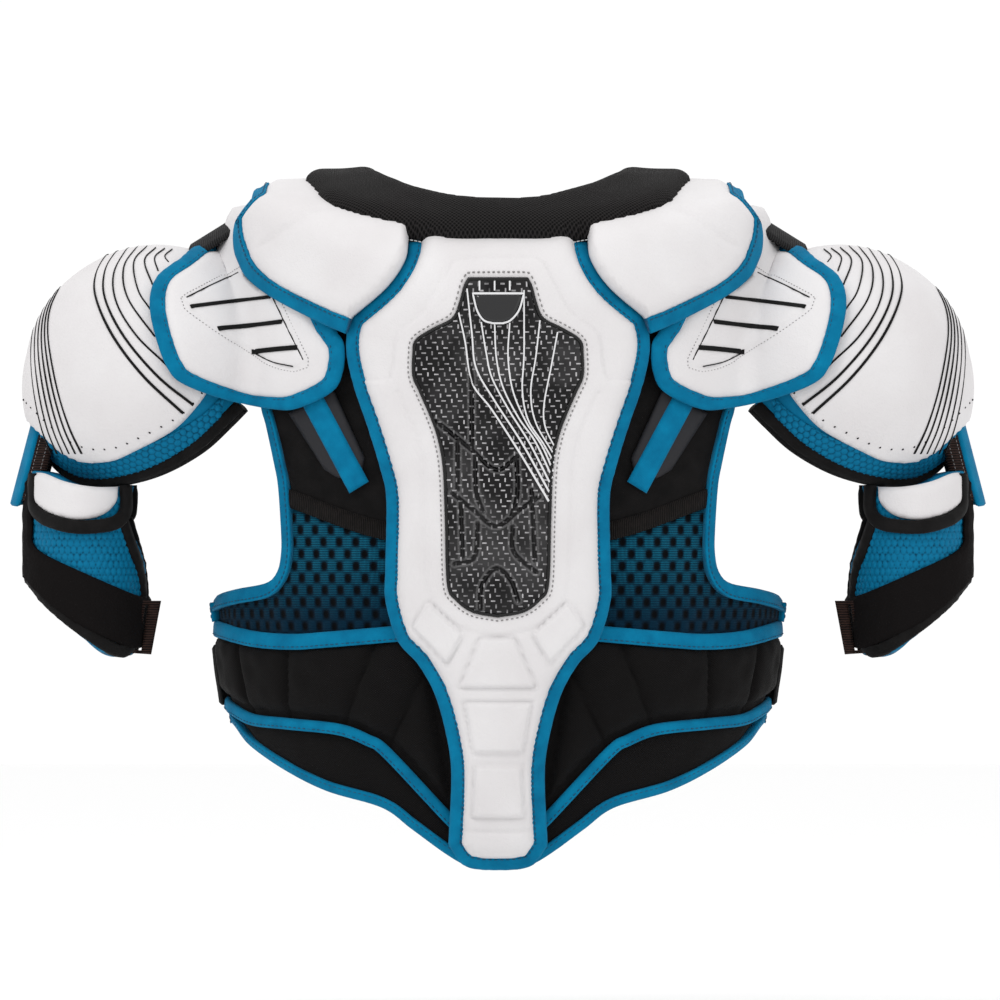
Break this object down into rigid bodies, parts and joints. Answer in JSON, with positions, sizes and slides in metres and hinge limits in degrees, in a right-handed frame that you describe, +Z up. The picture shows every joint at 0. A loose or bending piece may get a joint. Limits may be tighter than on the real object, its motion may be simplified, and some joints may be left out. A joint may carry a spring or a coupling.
{
  "type": "hockey shoulder pads",
  "caption": "Padded hockey shoulder protector with a collar, spine panel, shoulder caps, hinged wings and biceps guards, opening front and belly straps.",
  "frame": {"origin": "centre of the neck opening, level with the lower edge of the collar's back, where the pads rest on the wearer's shoulders", "axes": "+X towards the wearer's right, +Y towards the wearer's front, +Z up"},
  "size_m": [0.5792, 0.2712, 0.4227],
  "materials": {
    "white_cover": "matte",
    "blue_tape": "matte",
    "gloss_insert": "gloss",
    "blue_foam": "matte",
    "blue_mesh": "matte",
    "webbing": "matte",
    "black_tape": "matte",
    "collar_mesh": "matte",
    "black_cloth": "matte"
  },
  "bodies": {
    "back": {"neck_collar_back": "collar_mesh", "spine_panel": "white_cover", "spine_binding": "blue_tape", "spine_insert": "gloss_insert", "insert_badge": "gloss_insert", "back_liner": "black_cloth", "back_mesh": "blue_mesh", "yoke_back_left": "white_cover", "yoke_back_right": "white_cover", "yoke_binding_left": "blue_tape", "yoke_binding_right": "blue_tape", "armhole_binding_left": "blue_tape", "armhole_binding_right": "blue_tape", "body_wrap_left": "black_cloth", "body_wrap_right": "black_cloth", "tail_panel_left": "black_cloth", "tail_panel_right": "black_cloth", "tail_binding_left": "blue_tape", "tail_binding_right": "blue_tape", "anchor_patch_left": "black_cloth", "anchor_patch_right": "black_cloth", "anchor_strap_left": "blue_tape", "anchor_strap_right": "blue_tape", "cap_strap_left": "black_cloth", "cap_strap_right": "black_cloth"},
    "front": {"neck_collar_front": "collar_mesh", "chest_liner": "black_cloth", "sternum_plate": "white_cover", "belly_pad": "black_cloth", "yoke_front_left": "white_cover", "yoke_front_right": "white_cover", "chest_panel_left": "white_cover", "chest_panel_right": "white_cover"},
    "wing_left": {"wing_panel_left": "white_cover", "wing_binding_left": "blue_tape", "wing_insert_left": "white_cover"},
    "cap_left": {"cap_shell_left": "white_cover", "cap_liner_left": "blue_foam", "cap_binding_left": "black_tape", "cap_adjuster_left": "webbing"},
    "guard_left": {"biceps_pad_left": "blue_foam", "biceps_plate_left": "white_cover", "biceps_binding_left": "black_tape", "biceps_strap_left": "black_cloth"},
    "loop_left": {"webbing_loop_left": "webbing"},
    "belt_left": {"belly_strap_left": "black_cloth"},
    "wing_right": {"wing_panel_right": "white_cover", "wing_binding_right": "blue_tape", "wing_insert_right": "white_cover"},
    "cap_right": {"cap_shell_right": "white_cover", "cap_liner_right": "blue_foam", "cap_binding_right": "black_tape", "cap_adjuster_right": "webbing"},
    "guard_right": {"biceps_pad_right": "blue_foam", "biceps_plate_right": "white_cover", "biceps_binding_right": "black_tape", "biceps_strap_right": "black_cloth"},
    "loop_right": {"webbing_loop_right": "webbing"},
    "belt_right": {"belly_strap_right": "black_cloth"}
  },
  "joints": [
    {"name": "chest_open", "type": "hinge", "parent": "back", "child": "front", "pos_m": [0, 0.012, 0.0465], "axis": [1, 0, 0], "range_deg": [0, 50]},
    {"name": "cap_raise_left", "type": "hinge", "parent": "back", "child": "cap_left", "pos_m": [-0.207, 0, -0.082], "axis": [0, 1, 0], "range_deg": [0, 40]},
    {"name": "wing_lift_left", "type": "hinge", "parent": "back", "child": "wing_left", "pos_m": [-0.136, -0.078, -0.032], "axis": [-0.6188, 0.6188, 0.4839], "range_deg": [0, 6]},
    {"name": "guard_swing_left", "type": "hinge", "parent": "cap_left", "child": "guard_left", "pos_m": [-0.284, 0, -0.128], "axis": [0, 1, 0], "range_deg": [0, 20]},
    {"name": "loop_swing_left", "type": "hinge", "parent": "guard_left", "child": "loop_left", "pos_m": [-0.2135, -0.0242, -0.234], "axis": [0, 0, -1], "range_deg": [0, 60]},
    {"name": "belt_open_left", "type": "hinge", "parent": "front", "child": "belt_left", "pos_m": [-0.0605, 0.1045, -0.262], "axis": [0, 0, -1], "range_deg": [0, 90]},
    {"name": "cap_raise_right", "type": "hinge", "parent": "back", "child": "cap_right", "pos_m": [0.207, 0, -0.082], "axis": [0, -1, 0], "range_deg": [0, 40]},
    {"name": "wing_lift_right", "type": "hinge", "parent": "back", "child": "wing_right", "pos_m": [0.136, -0.078, -0.032], "axis": [-0.6188, -0.6188, -0.4839], "range_deg": [0, 6]},
    {"name": "guard_swing_right", "type": "hinge", "parent": "cap_right", "child": "guard_right", "pos_m": [0.284, 0, -0.128], "axis": [0, -1, 0], "range_deg": [0, 20]},
    {"name": "loop_swing_right", "type": "hinge", "parent": "guard_right", "child": "loop_right", "pos_m": [0.2135, -0.0242, -0.234], "axis": [0, 0, 1], "range_deg": [0, 60]},
    {"name": "belt_open_right", "type": "hinge", "parent": "front", "child": "belt_right", "pos_m": [0.0605, 0.1045, -0.262], "axis": [0, 0, 1], "range_deg": [0, 90]}
  ],
  "couplings": [
    {"joint": "wing_lift_left", "follows": "cap_raise_left", "ratio": 0.15},
    {"joint": "wing_lift_right", "follows": "cap_raise_right", "ratio": 0.15}
  ]
}
